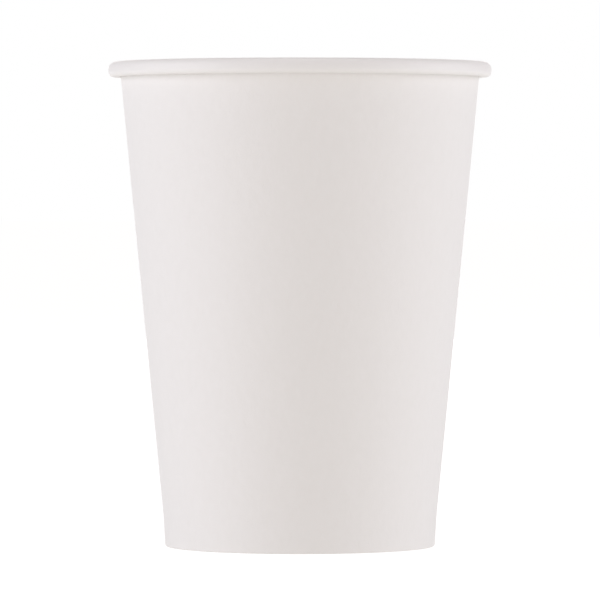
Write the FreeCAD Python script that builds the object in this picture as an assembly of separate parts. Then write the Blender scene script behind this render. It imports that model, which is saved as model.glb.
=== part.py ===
import FreeCAD, Part

import math
import os

# A plain paper cup for hot drinks: a rolled sidewall and a pan-shaped bottom disc, both of coated paperboard.
# Lengths are in millimetres and angles in degrees. +Z is up, and the origin is the centre of the foot's ring.
# The side seam is at the back, on +Y. Sections are drawn in the XZ plane and turned about Z. A heading is an
# angle in that plane, measured from +X towards +Z.

# Whole cup
rim_diameter = 80.0
foot_diameter = 56.4
cup_height = 101.1

# Board, and the film of melted coating between two glued faces
wall_board = 0.30
base_board = 0.28
glue_film = 0.02

# Foot: the wall stands steeper where it grips the skirt, and its fold is crushed to a flat ring
band_slope = 3.5
foot_crush = 0.05
hem_clearance = 1.0  # from the hem's edge up to where the bottom disc starts to turn inward

# Bottom disc
base_height = 8.0  # its upper face over the foot
base_corner_radius = 0.9
skirt_clearance = 0.12  # from the skirt's edge down to the fold

# Rolled rim, by the board's middle line. The wall curls over the crown, down the side and in under itself.
rim_reach = 2.37  # from the top of the wall out to the side
rim_crown_radius = 1.45
rim_side_height = 0.50
rim_lower_radius = 0.90
rim_tail_height = 1.20
rim_gap = 0.10  # between the tucked-in tail and the wall
tightest_inside = 0.10  # inside radius of the tightest bend that the seam's two layers take

# Side seam
seam_direction = 90.0
seam_width = 6.5  # overlap, measured at the rim
seam_ramp = 2.0  # width over which the board climbs onto itself
seam_squeeze = 0.2  # share of the second layer that is pressed away under the foot

# A bend is drawn as short flats, whose middles stay this near its true curve
bend_error = 0.08

# The skirt's middle line is the reference: the wall runs outside it and the hem inside it, at bond_offset
bond_offset = (wall_board + base_board) / 2 + glue_film
band_heading = 90 - band_slope
tightest_bend = 1.5 * wall_board + tightest_inside


def sine(angle):
    return math.sin(math.radians(angle))


def cosine(angle):
    return math.cos(math.radians(angle))


def moved(place, heading, length):
    """The point at length from place along heading."""
    return place + FreeCAD.Vector(cosine(heading), 0, sine(heading)) * length


def mitred(place, heading, turn, offset):
    """Where a line at offset to the left of a creased one has its own crease."""
    return moved(place, heading + turn / 2 + 90, offset / cosine(turn / 2))


def walk(place, heading, steps):
    """Where a middle line ends. Its steps are (length,) for a flat stretch, and (radius, turn) for a bend or,
    with radius 0, a crease. Turns to the left are positive."""
    for step in steps:
        if len(step) == 1:
            place = moved(place, heading, step[0])
        else:
            radius, turn = step
            side = math.copysign(90, turn)
            centre = moved(place, heading + side, radius)
            heading += turn
            place = moved(centre, heading - side, radius)
    return place, heading


def flats(step, side_radius):
    """A bend as short bends, for a side of the strip that has side_radius there."""
    widest = 2 * math.degrees(math.acos(max(1 - bend_error / side_radius, 0)))
    count = math.ceil(abs(step[1]) / widest)
    return [(step[0], step[1] / count)] * count


def side_points(place, heading, steps, side, board, layer):
    """The corners of one side of a strip. Side is 1 for its left and -1 for its right."""
    offset = side * board / 2 - layer
    points = [moved(place, heading + 90, offset)]
    for step in steps:
        if step[0] == 0:
            points[-1] = mitred(place, heading, step[1], offset)
            heading += step[1]
            continue
        side_radius = step[0] - side * math.copysign(board / 2, step[-1])
        for short in [step] if len(step) == 1 else flats(step, side_radius):
            place, heading = walk(place, heading, [short])
            points.append(moved(place, heading + 90, offset))
    return points


def strip_section(place, heading, steps, board, layer=0):
    """The section of a bent strip of board in the XZ plane, or of one that lies to its right, layer away."""
    left = side_points(place, heading, steps, 1, board, layer)
    right = side_points(place, heading, steps, -1, board, layer)
    corners = left + right[::-1]
    return Part.Face(Part.makePolygon(corners + [corners[0]]))


def fold_centre():
    """The centre of the foot's fold, where the reference line starts."""
    outside = bond_offset + wall_board / 2
    return FreeCAD.Vector(foot_diameter / 2 - outside * cosine(band_slope), 0, outside - foot_crush)


def band_top():
    """Where the reference line leaves the band, as the bottom disc turns inward."""
    start = fold_centre()
    level = base_height - base_board / 2 - base_corner_radius * (1 + sine(band_slope))
    return moved(start, band_heading, (level - start.z) / cosine(band_slope))


def wall_top(slope):
    """Where the wall's middle line starts to curl."""
    height = cup_height - wall_board / 2 - rim_inner_radius(slope) * (1 - sine(slope))
    return FreeCAD.Vector(rim_diameter / 2 - wall_board / 2 - rim_reach, 0, height)


def rim_outer_radius():
    """The crown's outer bend, which leaves room for the inner one."""
    return min(rim_crown_radius, rim_reach - tightest_bend)


def rim_inner_radius(slope):
    """The crown's inner bend, which takes what the outer one leaves of the reach."""
    return (rim_reach - rim_outer_radius()) / cosine(slope)


def wall_slope():
    """The slope of the straight wall. Its upper end depends a little on it, so the sum is repeated."""
    slope = math.degrees(math.atan2(rim_diameter - foot_diameter, 2 * cup_height))
    for _ in range(20):
        foot = mitred(band_top(), band_heading, band_slope - slope, -bond_offset)
        run = wall_top(slope) - foot
        slope = math.degrees(math.atan2(run.x, run.z))
    return slope


def rim_steps(slope):
    """The curl, from the top of the wall to the tail that stands at rim_gap outside the wall."""
    top = wall_top(slope)
    outer = rim_outer_radius()
    clear = wall_board + rim_gap + tightest_bend
    side_x = top.x + rim_reach
    side_low = cup_height - wall_board / 2 - outer - rim_side_height
    lower = min(rim_lower_radius, rim_reach - clear)
    tuck_rise = side_low - lower + tightest_bend - top.z
    tuck_x = top.x + (clear + tuck_rise * sine(slope)) / cosine(slope)
    return [
        (rim_inner_radius(slope), slope - 90),
        (outer, -90),
        (rim_side_height,),
        (lower, -90),
        (side_x - lower - tuck_x,),
        (tightest_bend, -90 - slope),
        (rim_tail_height,),
    ]


def sidewall_section(layer):
    """The sidewall's section from the hem's edge to the curl's, or the second layer's on top of it."""
    slope = wall_slope()
    fold = fold_centre()
    crease_turn = band_slope - slope
    crease = mitred(band_top(), band_heading, crease_turn, -bond_offset)
    hem_length = (band_top() - fold).Length - hem_clearance
    hem_edge = moved(moved(fold, band_heading + 90, bond_offset), band_heading, hem_length)
    band_length = (crease - moved(fold, band_heading - 90, bond_offset)).Length
    rise = layer * (1 - seam_squeeze)
    hem_steps = [(hem_length - rise,), (bond_offset, 90 + band_slope), (bond_offset, 90 - band_slope)]
    wall_steps = [(band_length - rise,), (0, crease_turn), ((wall_top(slope) - crease).Length,)]
    steps = hem_steps + wall_steps + rim_steps(slope)
    return strip_section(hem_edge, band_heading + 180, steps, wall_board, layer)


def about_axis(shape, angle):
    """A copy of a shape, turned about the cup's axis."""
    return shape.rotated(FreeCAD.Vector(0, 0, 0), FreeCAD.Vector(0, 0, 1), angle)


def swept(section, start, angle):
    """The solid that a section makes as it goes round the axis from start, through angle."""
    return about_axis(section, start).revolve(FreeCAD.Vector(0, 0, 0), FreeCAD.Vector(0, 0, 1), angle)


def make_sidewall():
    """One rolled blank. It starts at its inner edge, goes once round, climbs onto itself and ends on top."""
    degrees_per_mm = 360 / (math.pi * rim_diameter)
    overlap = seam_width * degrees_per_mm
    ramp = seam_ramp * degrees_per_mm
    inner_edge = seam_direction - overlap / 2
    outer_edge = seam_direction + overlap / 2
    single = sidewall_section(0)
    raised = sidewall_section(wall_board)
    double = single.fuse(raised).removeSplitter()
    body = swept(single, outer_edge, 360 - overlap - ramp)
    climb_ends = [about_axis(single, inner_edge - ramp).OuterWire, about_axis(raised, inner_edge).OuterWire]
    climb = Part.makeLoft(climb_ends, True, True)
    seam = swept(double.Faces[0], inner_edge, overlap)
    rolled = body.fuse([climb, seam])
    above_foot = Part.makeBox(rim_diameter * 2, rim_diameter * 2, cup_height * 2)
    above_foot.translate(FreeCAD.Vector(-rim_diameter, -rim_diameter, 0))
    return rolled.common(above_foot).removeSplitter()


def make_bottom_disc():
    """A round blank drawn into a shallow pan, whose skirt points down between the wall and its hem."""
    fold_inside = bond_offset - wall_board / 2
    lift = wall_board * (1 - seam_squeeze) + fold_inside * sine(band_slope) + skirt_clearance
    edge = moved(fold_centre(), band_heading, lift)
    skirt = [((band_top() - edge).Length,), (base_corner_radius, 90 + band_slope)]
    corner_end, _ = walk(edge, band_heading, skirt)
    section = strip_section(edge, band_heading, skirt + [(corner_end.x,)], base_board)
    return swept(section, 0, 360)


def write_part(shape, node):
    """One STEP file for a node."""
    shape.exportStep("parts/" + node + ".step")
    print(node, "solids", len(shape.Solids), "valid", shape.isValid(), "mm3", round(shape.Volume, 2))


os.makedirs("parts", exist_ok=True)
write_part(make_sidewall(), "sidewall")
write_part(make_bottom_disc(), "bottom_disc")
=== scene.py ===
"""Looks of a plain paper cup: a rolled sidewall sheet and a pan-shaped bottom, in a plain white studio.

Lengths are in metres and angles in degrees. The cup's axis is Z, its foot stands on z = 0, and its side seam
is on +Y. Both pieces are bent strips of board. A strip's middle line is walked in the plane of radius and
height, and turned about the axis.
"""

import math

import bpy
import numpy as np
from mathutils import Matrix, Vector, noise


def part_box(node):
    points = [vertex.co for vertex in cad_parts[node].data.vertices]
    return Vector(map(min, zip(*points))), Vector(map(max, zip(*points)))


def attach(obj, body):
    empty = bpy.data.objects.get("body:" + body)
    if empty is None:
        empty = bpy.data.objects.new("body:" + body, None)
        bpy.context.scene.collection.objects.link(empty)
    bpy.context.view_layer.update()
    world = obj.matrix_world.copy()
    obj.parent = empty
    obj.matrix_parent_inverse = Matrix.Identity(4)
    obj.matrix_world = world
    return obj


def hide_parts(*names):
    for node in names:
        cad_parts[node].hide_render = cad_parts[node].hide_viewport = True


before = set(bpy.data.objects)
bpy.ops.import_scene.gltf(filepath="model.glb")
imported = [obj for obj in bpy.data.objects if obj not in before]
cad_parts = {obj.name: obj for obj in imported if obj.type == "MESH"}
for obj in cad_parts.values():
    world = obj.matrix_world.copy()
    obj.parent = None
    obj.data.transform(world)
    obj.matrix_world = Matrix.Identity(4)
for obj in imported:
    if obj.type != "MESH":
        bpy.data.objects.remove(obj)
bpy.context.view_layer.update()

MM = 0.001

# Driving sizes, read from the frame. The nearest side of its box gives the radius, so nothing passes it.
RIM_RADIUS = min(abs(corner[i]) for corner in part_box("sidewall") for i in (0, 1))
CUP_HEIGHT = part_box("sidewall")[1].z
BASE_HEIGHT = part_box("bottom_disc")[1].z
SKIRT_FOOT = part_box("bottom_disc")[0].z

# Board, and the film of coating between glued faces
WALL_BOARD = 0.30 * MM
BASE_BOARD = 0.28 * MM
FILM = 0.02 * MM
LAYER = WALL_BOARD + FILM
BOND_OFFSET = (WALL_BOARD + BASE_BOARD) / 2 + FILM

# Foot: a steeper band over the fold, and a hem inside it that is pressed by the knurling wheel
FOOT_RADIUS = 28.2 * MM
BAND_SLOPE = 3.5
FOOT_CRUSH = 0.05 * MM
HEM_CLEARANCE = 1.0 * MM
BAND_BEND_RADIUS = 60 * MM
KNURL_COUNT = 120
KNURL_DEPTH = 0.12 * MM

# Bottom disc, with the gathers that its corner is drawn into
BASE_CORNER_RADIUS = 0.9 * MM
BASE_SAG = 0.35 * MM
PLEAT_COUNT = 80
PLEAT_DEPTH = 0.06 * MM
PLEAT_REACH = 3.0 * MM  # how far they run inward from the corner
PLEAT_ONSET = 60  # turn of the corner over which they grow
PLEAT_LEAST = 0.6  # share of their depth where the noise is nought
PLEAT_VARIATION = 0.8
PLEAT_PATCHES = 4

# Rolled rim, by the board's middle line
RIM_REACH = 2.37 * MM
CROWN_RADIUS = 1.45 * MM
RIM_SIDE_HEIGHT = 0.50 * MM
LOWER_RADIUS = 0.90 * MM
TUCK_RADIUS = 0.55 * MM
TAIL_HEIGHT = 1.20 * MM
RIM_GAP = 0.10 * MM

# Side seam
SEAM_DIRECTION = 90
SEAM_WIDTH = 6.5 * MM
SEAM_RAMP = 2.0 * MM

# How finely the sidewall is cut from hem to tail, the bottom from skirt to axis, and both round the axis
HEM_CUTS = 7
FOLD_CUTS = 12
BAND_CUTS = 2
BAND_BEND_CUTS = 3
WALL_CUTS = 9
CROWN_INNER_CUTS = 9
CROWN_OUTER_CUTS = 10
LOWER_CUTS = 9
TUCK_CUTS = 8
TAIL_CUTS = 2
SKIRT_CUTS = 3
CORNER_CUTS = 9
FLOOR_CUTS = 14
WALL_STATIONS = 4 * KNURL_COUNT
BASE_STATIONS = 4 * PLEAT_COUNT

SLOPE_ROUNDS = 20
SHARP_ANGLE = 50

# The number of a face's material in its piece's list
COATED, UNCOATED, RAW_EDGE = 0, 1, 2


def sine(angle):
    return math.sin(math.radians(angle))


def cosine(angle):
    return math.cos(math.radians(angle))


def smooth(t):
    """An even climb from 0 to 1 as t goes from 0 to 1."""
    t = np.clip(t, 0, 1)
    return t * t * (3 - 2 * t)


# Strips of board


def direction(heading):
    return np.array([cosine(heading), sine(heading)])


def walk(place, heading, steps):
    """Points of a middle line and the heading at each. A step is (length, cuts) or (radius, turn, cuts)."""
    places = [np.array(place, float)]
    headings = [heading]
    for step in steps:
        start, first = places[-1], headings[-1]
        cuts = step[-1]
        for i in range(1, cuts + 1):
            if len(step) == 2:
                places.append(start + direction(first) * step[0] * i / cuts)
                headings.append(first)
                continue
            radius, turn = step[:2]
            side = math.copysign(90, turn)
            centre = start + direction(first + side) * radius
            headings.append(first + turn * i / cuts)
            places.append(centre + direction(headings[-1] - side) * radius)
    return np.array(places), np.array(headings)


def left_of(headings):
    return np.array([direction(heading + 90) for heading in headings])


def both_faces(places, headings, board, layer=0):
    """The left and the right face of a strip, or of one that lies to its right, layer away."""
    normals = left_of(headings)
    return places + normals * (board / 2 - layer), places - normals * (board / 2 + layer)


# The sidewall's line


def fold_centre(lift=0):
    """The centre of the foot's fold. Under the seam the second layer lifts it."""
    outside = BOND_OFFSET + WALL_BOARD / 2
    start = np.array([FOOT_RADIUS - outside * cosine(BAND_SLOPE), outside - FOOT_CRUSH])
    return start + direction(90 - BAND_SLOPE) * lift


def band_top():
    """Where the line between wall and hem ends, as the bottom disc turns inward."""
    start = fold_centre()
    level = BASE_HEIGHT - BASE_BOARD / 2 - BASE_CORNER_RADIUS * (1 + sine(BAND_SLOPE))
    return start + direction(90 - BAND_SLOPE) * (level - start[1]) / cosine(BAND_SLOPE)


def band_end():
    """The wall's middle line beside the band's top."""
    return band_top() + direction(-BAND_SLOPE) * BOND_OFFSET


def crown_inner_radius(slope):
    return (RIM_REACH - CROWN_RADIUS) / cosine(slope)


def wall_top(slope):
    """Where the wall's middle line starts to curl."""
    height = CUP_HEIGHT - WALL_BOARD / 2 - crown_inner_radius(slope) * (1 - sine(slope))
    return np.array([RIM_RADIUS - WALL_BOARD / 2 - RIM_REACH, height])


def wall_slope():
    """The slope of the straight wall. Its upper end depends a little on it, so the sum is repeated."""
    slope = BAND_SLOPE
    for _ in range(SLOPE_ROUNDS):
        run = wall_top(slope) - band_end()
        slope = math.degrees(math.atan2(run[0], run[1]))
    return slope


def curl_steps(slope, gap):
    """The curl: over the crown, down, in under itself and up. Gap is between its tail and the wall."""
    top = wall_top(slope)
    clear = WALL_BOARD + gap + TUCK_RADIUS
    side_low = CUP_HEIGHT - WALL_BOARD / 2 - CROWN_RADIUS - RIM_SIDE_HEIGHT
    tuck_rise = side_low - LOWER_RADIUS + TUCK_RADIUS - top[1]
    tuck_centre = top[0] + (clear + tuck_rise * sine(slope)) / cosine(slope)
    underside = top[0] + RIM_REACH - LOWER_RADIUS - tuck_centre
    return [
        (crown_inner_radius(slope), slope - 90, CROWN_INNER_CUTS),
        (CROWN_RADIUS, -90, CROWN_OUTER_CUTS),
        (RIM_SIDE_HEIGHT, 1),
        (LOWER_RADIUS, -90, LOWER_CUTS),
        (underside, 1),
        (TUCK_RADIUS, -90 - slope, TUCK_CUTS),
        (TAIL_HEIGHT, TAIL_CUTS),
    ]


def sidewall_line(room):
    """The middle line from the hem's edge to the curl's tail. Room is what the second layer needs."""
    slope = wall_slope()
    fold = fold_centre(room)
    band_heading = 90 - BAND_SLOPE
    hem_length = np.linalg.norm(band_top() - fold) - HEM_CLEARANCE
    hem_edge = fold - direction(-BAND_SLOPE) * BOND_OFFSET + direction(band_heading) * hem_length
    turn = BAND_SLOPE - slope
    tangent = BAND_BEND_RADIUS * math.tan(math.radians(-turn / 2))
    steps = [
        (hem_length, HEM_CUTS),
        (BOND_OFFSET, 180, FOLD_CUTS),
        (np.linalg.norm(band_top() - fold) - tangent, BAND_CUTS),
        (BAND_BEND_RADIUS, turn, BAND_BEND_CUTS),
        (np.linalg.norm(wall_top(slope) - band_end()) - tangent, WALL_CUTS),
    ]
    return walk(hem_edge, band_heading + 180, steps + curl_steps(slope, RIM_GAP + room))


# The sidewall's sheet


def wall_stations():
    """Angles from the sheet's inner raw edge to its outer one, and the layer and the room for it at each."""
    overlap = math.degrees(SEAM_WIDTH / RIM_RADIUS)
    ramp = math.degrees(SEAM_RAMP / RIM_RADIUS)
    turns = np.append(np.arange(0, 360 + overlap, 360 / WALL_STATIONS), 360 + overlap)
    climb = smooth((turns - 360 + ramp) / ramp)
    room = np.maximum(climb, 1 - smooth((turns - overlap) / ramp))
    return turns + SEAM_DIRECTION - overlap / 2, climb * LAYER, room * LAYER


def knurled(face, headings, angle):
    """A face whose hem is pressed in by the knurling wheel, less towards the hem's two ends."""
    depth = KNURL_DEPTH * (1 + cosine(angle * KNURL_COUNT)) / 2
    fade = np.sin(np.linspace(0, math.pi, HEM_CUTS + 1)) ** 0.5
    face = face.copy()
    face[: HEM_CUTS + 1] += left_of(headings[: HEM_CUTS + 1]) * (fade * depth)[:, None]
    return face


def sidewall_rings():
    """One ring of points for each station: the inner face from hem to tail, then the outer face back."""
    rings = []
    for angle, layer, room in zip(*wall_stations()):
        places, headings = sidewall_line(room)
        inner, outer = both_faces(places, headings, WALL_BOARD, layer)
        ring = np.concatenate([inner, knurled(outer, headings, angle)[::-1]])
        ring[:, 1] = np.maximum(ring[:, 1], 0)
        rings.append(turned(ring, angle))
    return rings


def turned(ring, angle):
    """Points of radius and height, at an angle about the axis."""
    return np.column_stack([ring[:, 0] * cosine(angle), ring[:, 0] * sine(angle), ring[:, 1]])


def make_sidewall(materials):
    """One closed sheet. It starts under the seam at its inner raw edge and ends on top at its outer one."""
    rings = sidewall_rings()
    size = len(rings[0])
    half = size // 2
    faces, finishes = [], []
    for j in range(len(rings) - 1):
        for i in range(size):
            a, b = j * size + i, j * size + (i + 1) % size
            faces.append((a, b, b + size, a + size))
            at_edge = i in (half - 1, size - 1)
            finishes.append(RAW_EDGE if at_edge else COATED if i < half else UNCOATED)
    last = (len(rings) - 1) * size
    for i in range(half - 1):
        mirror = size - 1 - i
        faces.append((i, mirror, mirror - 1, i + 1))
        faces.append((last + i, last + i + 1, last + mirror - 1, last + mirror))
        finishes += [RAW_EDGE, RAW_EDGE]
    return make_piece("cup_sidewall", np.concatenate(rings), faces, materials, finishes)


# The bottom disc


def pleats(places, headings, angle):
    """How far the board's gathers push a middle line out, strongest at the corner and gone at its ends."""
    corner = SKIRT_CUTS + CORNER_CUTS
    into_corner = smooth((headings - headings[0]) / PLEAT_ONSET)
    inward = np.linalg.norm(places - places[corner], axis=1) / PLEAT_REACH
    away = np.where(np.arange(len(places)) > corner, 1 - smooth(inward), 1)
    around = Vector((cosine(angle), sine(angle), 0)) * PLEAT_PATCHES
    uneven = PLEAT_LEAST + PLEAT_VARIATION * noise.noise(around)
    return into_corner * away * PLEAT_DEPTH * uneven * cosine(angle * PLEAT_COUNT)


def bottom_line():
    """The disc's middle line, from its skirt's lower edge up, round the corner and in to the axis."""
    fold = fold_centre()
    band_heading = 90 - BAND_SLOPE
    edge_height = SKIRT_FOOT + BASE_BOARD / 2 * sine(BAND_SLOPE)
    edge = fold + direction(band_heading) * (edge_height - fold[1]) / cosine(BAND_SLOPE)
    skirt = [
        (np.linalg.norm(band_top() - edge), SKIRT_CUTS),
        (BASE_CORNER_RADIUS, 90 + BAND_SLOPE, CORNER_CUTS),
    ]
    corner_end = walk(edge, band_heading, skirt)[0][-1]
    return walk(edge, band_heading, skirt + [(corner_end[0], FLOOR_CUTS)])


def bottom_rings():
    """One ring of points for each station: the underside from skirt to axis, then the upper face back."""
    places, headings = bottom_line()
    flat_radius = places[SKIRT_CUTS + CORNER_CUTS][0]
    sag = BASE_SAG * (1 - np.clip(places[:, 0] / flat_radius, 0, 1) ** 2) ** 2
    rings = []
    for angle in np.arange(BASE_STATIONS) * 360 / BASE_STATIONS:
        line = places - left_of(headings) * pleats(places, headings, angle)[:, None]
        line[:, 1] -= sag
        under, upper = both_faces(line, headings, BASE_BOARD)
        rings.append(turned(np.concatenate([under[:-1], upper[-2::-1]]), angle))
    axis_height = places[-1][1] - sag[-1]
    return rings, axis_height


def make_bottom(materials):
    """The disc, as rings about the axis and a fan of triangles at its middle."""
    rings, axis_height = bottom_rings()
    size = len(rings[0])
    half = size // 2
    points = np.concatenate(rings)
    under_pole, upper_pole = len(points), len(points) + 1
    poles = [[0, 0, axis_height - BASE_BOARD / 2], [0, 0, axis_height + BASE_BOARD / 2]]
    faces, finishes = [], []
    for j in range(len(rings)):
        here, there = j * size, (j + 1) % len(rings) * size
        for i in range(size):
            following = (i + 1) % size
            if i == half - 1:
                faces.append((here + i, under_pole, there + i))
                faces.append((here + following, there + following, upper_pole))
                finishes += [UNCOATED, COATED]
                continue
            faces.append((here + i, here + following, there + following, there + i))
            finishes.append(RAW_EDGE if i == size - 1 else UNCOATED if i < half else COATED)
    return make_piece("cup_bottom", np.concatenate([points, poles]), faces, materials, finishes)


def make_piece(name, points, faces, materials, finishes):
    """A mesh object whose faces take their material by number, smooth except at the board's cut edges."""
    mesh = bpy.data.meshes.new(name)
    mesh.from_pydata([tuple(point) for point in points], [], faces)
    for material in materials:
        mesh.materials.append(material)
    mesh.polygons.foreach_set("material_index", finishes)
    mesh.polygons.foreach_set("use_smooth", [True] * len(faces))
    mesh.set_sharp_from_angle(angle=math.radians(SHARP_ANGLE))
    piece = bpy.data.objects.new(name, mesh)
    bpy.context.scene.collection.objects.link(piece)
    return piece


# Materials


# Patterns in the board: features per metre, detail, and for some their scale along each axis
UNCOATED_CLOUDS = (700, 5, (1, 1, 0.6))
UNCOATED_FIBRES = (3000, 3, (1, 1, 0.3))
COATED_CLOUDS = (700, 4)
COATED_GRAIN = (2000, 2)
PULP = (5000, 4)

# The part of a pattern's values over which the colour runs, and its darker and lighter end
CLOUD_RANGE = (0.35, 0.65)
PULP_RANGE = (0.3, 0.7)
UNCOATED_COLOURS = ((0.852, 0.846, 0.830), (0.860, 0.854, 0.839))
COATED_COLOURS = ((0.852, 0.846, 0.832), (0.860, 0.854, 0.840))
PULP_COLOURS = ((0.74, 0.70, 0.65), (0.84, 0.81, 0.77))

# Roughness where the pattern is lowest and highest, gloss, and the height of the tooth
UNCOATED_ROUGHNESS = (0.68, 0.86)
COATED_ROUGHNESS = (0.46, 0.60)
RAW_EDGE_ROUGHNESS = 0.95
UNCOATED_GLOSS = 0.3
COATED_GLOSS = 0.45
UNCOATED_TOOTH = 0.040 * MM
COATED_TOOTH = 0.025 * MM
RAW_EDGE_TOOTH = 0.02 * MM


def new_material(name):
    material = bpy.data.materials.new(name)
    material.use_nodes = True
    tree = material.node_tree
    return material, tree.nodes, tree.links, tree.nodes["Principled BSDF"]


def noise_at(nodes, links, scale, detail, stretch=(1, 1, 1)):
    """A noise pattern fixed to the object. Scale is in features per metre."""
    place = nodes.new("ShaderNodeTexCoord")
    mapping = nodes.new("ShaderNodeMapping")
    mapping.inputs["Scale"].default_value = stretch
    pattern = nodes.new("ShaderNodeTexNoise")
    pattern.inputs["Scale"].default_value = scale
    pattern.inputs["Detail"].default_value = detail
    links.new(place.outputs["Object"], mapping.inputs["Vector"])
    links.new(mapping.outputs["Vector"], pattern.inputs["Vector"])
    return pattern.outputs["Fac"]


def tinted(nodes, links, pattern, low, high, darker, lighter):
    """A colour that runs from darker to lighter as the pattern goes from low to high."""
    ramp = nodes.new("ShaderNodeValToRGB")
    ramp.color_ramp.elements[0].position = low
    ramp.color_ramp.elements[0].color = (*darker, 1)
    ramp.color_ramp.elements[1].position = high
    ramp.color_ramp.elements[1].color = (*lighter, 1)
    links.new(pattern, ramp.inputs["Fac"])
    return ramp.outputs["Color"]


def roughened(nodes, links, shader, pattern, low, high):
    """Sets a roughness that runs from low to high with the pattern."""
    spread = nodes.new("ShaderNodeMapRange")
    spread.inputs["To Min"].default_value = low
    spread.inputs["To Max"].default_value = high
    links.new(pattern, spread.inputs["Value"])
    links.new(spread.outputs["Result"], shader.inputs["Roughness"])


def embossed(nodes, links, shader, fine, coarse, height):
    """Sets bump from a fine pattern on top of a coarse one, which stands twice as high."""
    bump = nodes.new("ShaderNodeBump")
    bump.inputs["Distance"].default_value = height
    over = nodes.new("ShaderNodeBump")
    over.inputs["Distance"].default_value = height * 2
    links.new(coarse, over.inputs["Height"])
    links.new(fine, bump.inputs["Height"])
    links.new(over.outputs["Normal"], bump.inputs["Normal"])
    links.new(bump.outputs["Normal"], shader.inputs["Normal"])


def make_uncoated_paper():
    """Matte white paper: cloudy where its fibres lie thicker, with a fine tooth."""
    material, nodes, links, shader = new_material("uncoated_paper")
    clouds = noise_at(nodes, links, *UNCOATED_CLOUDS)
    fibres = noise_at(nodes, links, *UNCOATED_FIBRES)
    colour = tinted(nodes, links, clouds, *CLOUD_RANGE, *UNCOATED_COLOURS)
    links.new(colour, shader.inputs["Base Color"])
    roughened(nodes, links, shader, fibres, *UNCOATED_ROUGHNESS)
    embossed(nodes, links, shader, fibres, clouds, UNCOATED_TOOTH)
    shader.inputs["Specular IOR Level"].default_value = UNCOATED_GLOSS
    return material


def make_coated_paper():
    """The side that holds the drink, and that the rim's roll turns outward: a satin film over the fibres."""
    material, nodes, links, shader = new_material("coated_paper")
    clouds = noise_at(nodes, links, *COATED_CLOUDS)
    grain = noise_at(nodes, links, *COATED_GRAIN)
    colour = tinted(nodes, links, clouds, *CLOUD_RANGE, *COATED_COLOURS)
    links.new(colour, shader.inputs["Base Color"])
    roughened(nodes, links, shader, grain, *COATED_ROUGHNESS)
    embossed(nodes, links, shader, grain, clouds, COATED_TOOTH)
    shader.inputs["Specular IOR Level"].default_value = COATED_GLOSS
    return material


def make_raw_edge():
    """The board's cut edge: bare pulp, a little warmer and rougher."""
    material, nodes, links, shader = new_material("raw_edge")
    pulp = noise_at(nodes, links, *PULP)
    colour = tinted(nodes, links, pulp, *PULP_RANGE, *PULP_COLOURS)
    links.new(colour, shader.inputs["Base Color"])
    embossed(nodes, links, shader, pulp, pulp, RAW_EDGE_TOOTH)
    shader.inputs["Roughness"].default_value = RAW_EDGE_ROUGHNESS
    return material


# Studio


WHITE = (1, 1, 1, 1)
BACKGROUND = 1.0

# Light from all round. Its strength changes while the height of its direction goes from -AMBIENT_SPAN to
# AMBIENT_SPAN.
AMBIENT_COLOUR = (1.0, 0.944, 0.906, 1)
AMBIENT_BELOW = 0.80
AMBIENT_ABOVE = 0.325
AMBIENT_SPAN = 0.5

FLOOR_SIZE = 30
FLOOR_COLOUR = (0.3, 0.3, 0.3, 1)
FLOOR_GLOW = 0.90
FLOOR_DROP = 0.05 * MM

SIDE_COLOUR = (0.89, 0.90, 1.0)
FILL_COLOUR = (1.0, 0.92, 0.92)

# Each softbox's name, azimuth, elevation, distance, size, watts and colour
SOFTBOXES = [
    ("left_softbox", -74, 15, 1.0, 0.7, 4.6, SIDE_COLOUR),
    ("right_softbox", 84, 15, 1.0, 0.7, 3.9, SIDE_COLOUR),
    ("front_fill", 12, 5, 1.6, 1.0, 3.65, FILL_COLOUR),
    ("back_fill", 180, 15, 1.6, 1.0, 5.0, FILL_COLOUR),
    ("top_fill", 0, 90, 1.2, 0.5, 2.8, FILL_COLOUR),
]


def make_floor():
    """A wide floor that glows white, so the cup's shadow stays faint. It gives the cup no diffuse light."""
    bpy.ops.mesh.primitive_plane_add(size=FLOOR_SIZE, location=(0, 0, -FLOOR_DROP))
    floor = bpy.context.object
    floor.name = "studio_floor"
    floor.visible_diffuse = False
    floor.visible_shadow = False
    material, nodes, links, shader = new_material("white_floor")
    shader.inputs["Base Color"].default_value = FLOOR_COLOUR
    shader.inputs["Roughness"].default_value = 1
    shader.inputs["Specular IOR Level"].default_value = 0
    shader.inputs["Emission Color"].default_value = WHITE
    shader.inputs["Emission Strength"].default_value = FLOOR_GLOW
    floor.data.materials.append(material)


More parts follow.
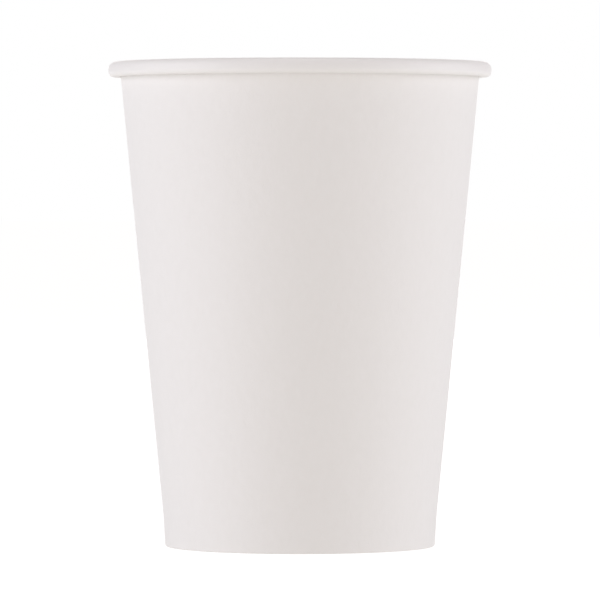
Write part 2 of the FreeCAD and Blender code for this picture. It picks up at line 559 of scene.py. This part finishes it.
def make_world():
    """Soft light from all round, most of it from below, and white where the camera sees past the floor."""
    world = bpy.data.worlds.new("studio")
    bpy.context.scene.world = world
    world.use_nodes = True
    nodes, links = world.node_tree.nodes, world.node_tree.links
    ambient = nodes["Background"]
    ambient.inputs["Color"].default_value = AMBIENT_COLOUR
    place = nodes.new("ShaderNodeTexCoord")
    split = nodes.new("ShaderNodeSeparateXYZ")
    spread = nodes.new("ShaderNodeMapRange")
    spread.inputs["From Min"].default_value = -AMBIENT_SPAN
    spread.inputs["From Max"].default_value = AMBIENT_SPAN
    spread.inputs["To Min"].default_value = AMBIENT_BELOW
    spread.inputs["To Max"].default_value = AMBIENT_ABOVE
    links.new(place.outputs["Generated"], split.inputs["Vector"])
    links.new(split.outputs["Z"], spread.inputs["Value"])
    links.new(spread.outputs["Result"], ambient.inputs["Strength"])
    backdrop = nodes.new("ShaderNodeBackground")
    backdrop.inputs["Color"].default_value = WHITE
    backdrop.inputs["Strength"].default_value = BACKGROUND
    path = nodes.new("ShaderNodeLightPath")
    mix = nodes.new("ShaderNodeMixShader")
    links.new(path.outputs["Is Camera Ray"], mix.inputs["Fac"])
    links.new(ambient.outputs["Background"], mix.inputs[1])
    links.new(backdrop.outputs["Background"], mix.inputs[2])
    links.new(mix.outputs["Shader"], nodes["World Output"].inputs["Surface"])


def add_softbox(name, azimuth, elevation, distance, size, power, colour):
    """A square area light that faces the cup. Azimuth 0 is the camera's side, and 90 is to its right."""
    middle = Vector((0, 0, CUP_HEIGHT / 2))
    level = cosine(elevation)
    away = Vector((sine(azimuth) * level, -cosine(azimuth) * level, sine(elevation)))
    lamp = bpy.data.lights.new(name, "AREA")
    lamp.size = size
    lamp.energy = power
    lamp.color = colour
    softbox = bpy.data.objects.new(name, lamp)
    softbox.location = middle + away * distance
    softbox.rotation_euler = away.to_track_quat("Z", "Y").to_euler()
    softbox.visible_camera = False
    bpy.context.scene.collection.objects.link(softbox)


# Camera, level with the cup's upper half and far off

CAMERA_DISTANCE = 1.153
CAMERA_ELEVATION = 1.084
CAMERA_AIM = 0.5083  # share of the cup's height
CAMERA_LENS = 331.0  # this and the sensor's width are in millimetres
SENSOR_WIDTH = 36


def make_camera():
    data = bpy.data.cameras.new("camera")
    data.lens = CAMERA_LENS
    data.sensor_width = SENSOR_WIDTH
    camera = bpy.data.objects.new("camera", data)
    aim = Vector((0, 0, CAMERA_AIM * CUP_HEIGHT))
    back = Vector((0, -1, math.tan(math.radians(CAMERA_ELEVATION))))
    camera.location = aim + back * CAMERA_DISTANCE
    camera.rotation_euler = back.to_track_quat("Z", "Y").to_euler()
    bpy.context.scene.collection.objects.link(camera)
    bpy.context.scene.camera = camera


# In the order of COATED, UNCOATED and RAW_EDGE
board_materials = [make_coated_paper(), make_uncoated_paper(), make_raw_edge()]

sidewall = make_sidewall(board_materials)
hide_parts("sidewall")
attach(sidewall, "root")

bottom = make_bottom(board_materials)
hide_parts("bottom_disc")
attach(bottom, "root")

make_floor()
make_world()
for softbox in SOFTBOXES:
    add_softbox(*softbox)
make_camera()
bpy.context.scene.view_settings.view_transform = "Standard"
